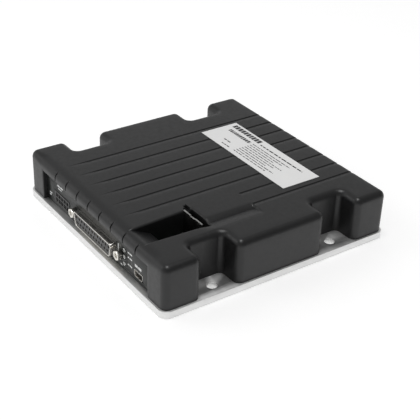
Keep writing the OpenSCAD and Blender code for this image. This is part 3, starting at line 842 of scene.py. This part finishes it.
def make_camera():
    """A view from above the corner of the connector face and the bay's side, slightly rolled."""
    azimuth, elevation, roll = (math.radians(a) for a in (54.10, 31.04, 2.31))
    aim = Vector((17.4, -7.7, 14.0)) * MM
    distance = 0.5146
    back = Vector((math.sin(azimuth) * math.cos(elevation),
                   -math.cos(azimuth) * math.cos(elevation), math.sin(elevation)))
    right = Vector((0, 0, 1)).cross(back).normalized()
    up = back.cross(right)
    turned_right = right * math.cos(roll) + up * math.sin(roll)
    turned_up = up * math.cos(roll) - right * math.sin(roll)
    data = bpy.data.cameras.new("camera")
    data.sensor_width = 36
    data.lens = 83.73
    data.clip_start = 0.01
    obj = bpy.data.objects.new("camera", data)
    turn = Matrix((turned_right, turned_up, back)).transposed()
    obj.matrix_world = Matrix.Translation(aim + back * distance) @ turn.to_4x4()
    bpy.context.scene.collection.objects.link(obj)
    bpy.context.scene.camera = obj


# ---------------------------------------------------------------- refined CAD parts
def refined(node, name, width, segments, sharp=40):
    """A copy of a CAD node with its flat faces merged and its sharp edges rounded, in its place."""
    source = frame["nodes"][node]
    mesh = bpy.data.meshes.new(name)
    work = bmesh.new()
    work.from_mesh(source.data)
    bmesh.ops.remove_doubles(work, verts=work.verts, dist=1e-6)
    bmesh.ops.dissolve_limit(work, angle_limit=math.radians(1), verts=work.verts, edges=work.edges)
    work.to_mesh(mesh)
    work.free()
    draft = bpy.data.objects.new(name + "_draft", mesh)
    bpy.context.scene.collection.objects.link(draft)
    bevel = draft.modifiers.new("edges", "BEVEL")
    bevel.width = width * MM
    bevel.segments = segments
    bevel.limit_method = "ANGLE"
    bevel.angle_limit = math.radians(sharp)
    bevel.miter_outer = "MITER_ARC"
    graph = bpy.context.evaluated_depsgraph_get()
    final = bpy.data.meshes.new_from_object(draft.evaluated_get(graph))
    bpy.data.objects.remove(draft)
    final.name = name
    final.shade_smooth()
    final.set_sharp_from_angle(angle=math.radians(sharp))
    final.materials.clear()
    final.materials.append(FINISHES[SLOTS[node]])
    piece = bpy.data.objects.new(name, final)
    bpy.context.scene.collection.objects.link(piece)
    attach(piece, ROOT)
    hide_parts(node)


# node, piece, width of its rounded edges and their segments
REFINED = (
    ("base_plate", "mounting_plate", 0.35, 2),
    ("front_panel", "connector_panel", 0.12, 1),
    ("nameplate_label", "nameplate", 0.05, 1),
    ("dsub_shell", "connector_shell", 0.18, 2),
    ("dsub_body", "connector_insulator", 0.12, 1),
    ("dsub_jackscrews", "connector_jackscrews", 0.3, 2),
    ("dsub_bracket", "connector_bracket", 0.2, 2),
    ("sensor_header", "header_housing", 0.15, 1),
    ("usb_shell", "service_port_shell", 0.08, 2),
    ("status_light_pipes", "status_lenses", 0.25, 3),
    ("tall_terminal", "tall_blades", 0.2, 2),
    ("short_terminals", "short_blades", 0.2, 2),
)


def make_bosses(material):
    """The cover's six screw bosses, from the plate up to the roof, with a flare at the roof."""
    low, high = box_mm("cover_screws")
    head_r = 3.0
    outer, bore, bore_top, flare = 3.2, 1.6, 15.0, 1.2
    tip, chamfer, foot_edge, middle = 0.6, 0.3, 0.2, 0.01
    arc = [(outer + flare * (1 - math.cos(t)), ROOF_Z - flare * (1 - math.sin(t)))
           for t in between(0, math.pi / 2, 4)]
    profile = [(middle, bore_top), (bore, bore_top - tip), (bore, FLOOR + chamfer),
               (bore + chamfer, FLOOR), (outer - foot_edge, FLOOR), (outer, FLOOR + foot_edge),
               *arc, (middle, ROOF_Z)]
    shell = Shell()
    for x in (low.x + head_r, high.x - head_r):
        for y in (low.y + head_r, 0, high.y - head_r):
            rings = [shell.loop([(x + r * math.cos(a), y + r * math.sin(a), z)
                                 for a in between(0, 2 * math.pi, 36)[:-1]]) for r, z in profile]
            shell.stack(rings)
            shell.faces += [tuple(rings[0]), tuple(rings[-1])]
    bosses = shell.piece("cover_bosses", material)


def add_mark(shell, corners, lift):
    """A printed mark: a flat raised shape over four corners."""
    base = shell.loop(corners)
    top = shell.loop([tuple(Vector(p) + lift) for p in corners])
    shell.band(base, top)
    shell.faces += [tuple(base), tuple(top)]


def label_mark(shell, x0, x1, y0, y1):
    """A printed bar on the label."""
    z = label_high.z
    add_mark(shell, [(x0, y0, z), (x1, y0, z), (x1, y1, z), (x0, y1, z)], Vector((0, 0, PRINT_T)))


def label_words(shell, draw, x0, x1, y, height, word, gap):
    """A line of plain bars, as long as words, that stands for a line of print."""
    x = x0
    while x < x1:
        end = min(x1, x + draw.uniform(*word))
        label_mark(shell, x, end, y, y + height)
        x = end + gap


def make_label_print(material):
    """Generic print on the label: a heading of blocks, a heading line and a paragraph of bars."""
    shell = Shell()
    draw = random.Random(11)
    x0, y0 = label_low.x, label_low.y
    label_words(shell, draw, x0 + 3, x0 + 28, y0 + 19.6, 3.4, (1.5, 2.4), 0.55)
    label_words(shell, draw, x0 + 30, x0 + 67, y0 + 19.2, 0.9, (1.6, 4.2), 0.7)
    label_words(shell, draw, x0 + 5.5, x0 + 25, y0 + 14.9, 2.4, (1.0, 1.7), 0.5)
    for i in range(8):
        end = x0 + 60 - 4.5 * (i % 3)
        label_words(shell, draw, x0 + 27, end, y0 + 16.3 - 1.9 * i, 0.55, (1.4, 4.6), 0.6)
    label_words(shell, draw, x0 + 13, x0 + 19, y0 + 6.4, 0.8, (1.5, 3), 0.6)
    label_words(shell, draw, x0 + 16, x0 + 23, y0 + 2.6, 0.7, (1.5, 3), 0.6)
    piece = shell.piece("label_print", material)


def panel_mark(shell, x0, x1, z0, z1):
    """A printed bar on the connector panel."""
    y = panel_front
    add_mark(shell, [(x0, y, z0), (x1, y, z0), (x1, y, z1), (x0, y, z1)], Vector((0, -PRINT_T, 0)))


def make_panel_legends(material):
    """Short generic bars beside the connectors and the lights, where a maker would print labels."""
    shell = Shell()
    light_low, light_high = box_mm("status_light_pipes")
    header_low, header_high = box_mm("sensor_header")
    port_low, port_high = box_mm("usb_shell")
    plug_low, plug_high = box_mm("dsub_shell")
    lens_r = 1.1
    lens_mid = (light_low.z + light_high.z) / 2
    beside_light = ((1.8, 3.1, 0, 0.8), (3.5, 5.8, 0, 0.8))
    over_header = ((-5.2, -2.2, 3.9, 4.8), (-1.7, 1.2, 3.9, 4.8), (-4.4, -0.4, 2.5, 3.1))
    marks = [((light_high.x, z), beside_light)
             for z in (light_high.z - lens_r, lens_mid + 1.2, light_low.z + lens_r + 1.0)]
    marks += [
        (((header_low.x + header_high.x) / 2, header_high.z), over_header),
        ((header_low.x, header_low.z), ((-6.3, -3.6, 2.6, 3.4), (-6.3, -4.4, 1.3, 2.1))),
        ((port_low.x, port_high.z), ((0.6, 3.2, 1.8, 3.2), (3.7, 6.6, 1.8, 3.2))),
        ((plug_high.x, plug_high.z), ((-5.4, -4.6, -4.6, -0.8),)),
        ((plug_high.x, plug_low.z), ((-3.0, -1.2, 0.5, 1.3),)),
    ]
    for (x, z), bars in marks:
        for x0, x1, z0, z1 in bars:
            panel_mark(shell, x + x0, x + x1, z + z0, z + z1)
    piece = shell.piece("panel_legends", material)


# ---------------------------------------------------------------- build
dress_cad_nodes()
make_cover(FINISHES["cover_plastic"])
make_bosses(FINISHES["cover_plastic"])
for node_name, piece_name, edge_width, edge_steps in REFINED:
    refined(node_name, piece_name, edge_width, edge_steps)
make_label_print(PRINT_BLACK)
make_panel_legends(PRINT_WHITE)
make_stage()
make_camera()
bpy.context.scene.view_settings.view_transform = "Standard"
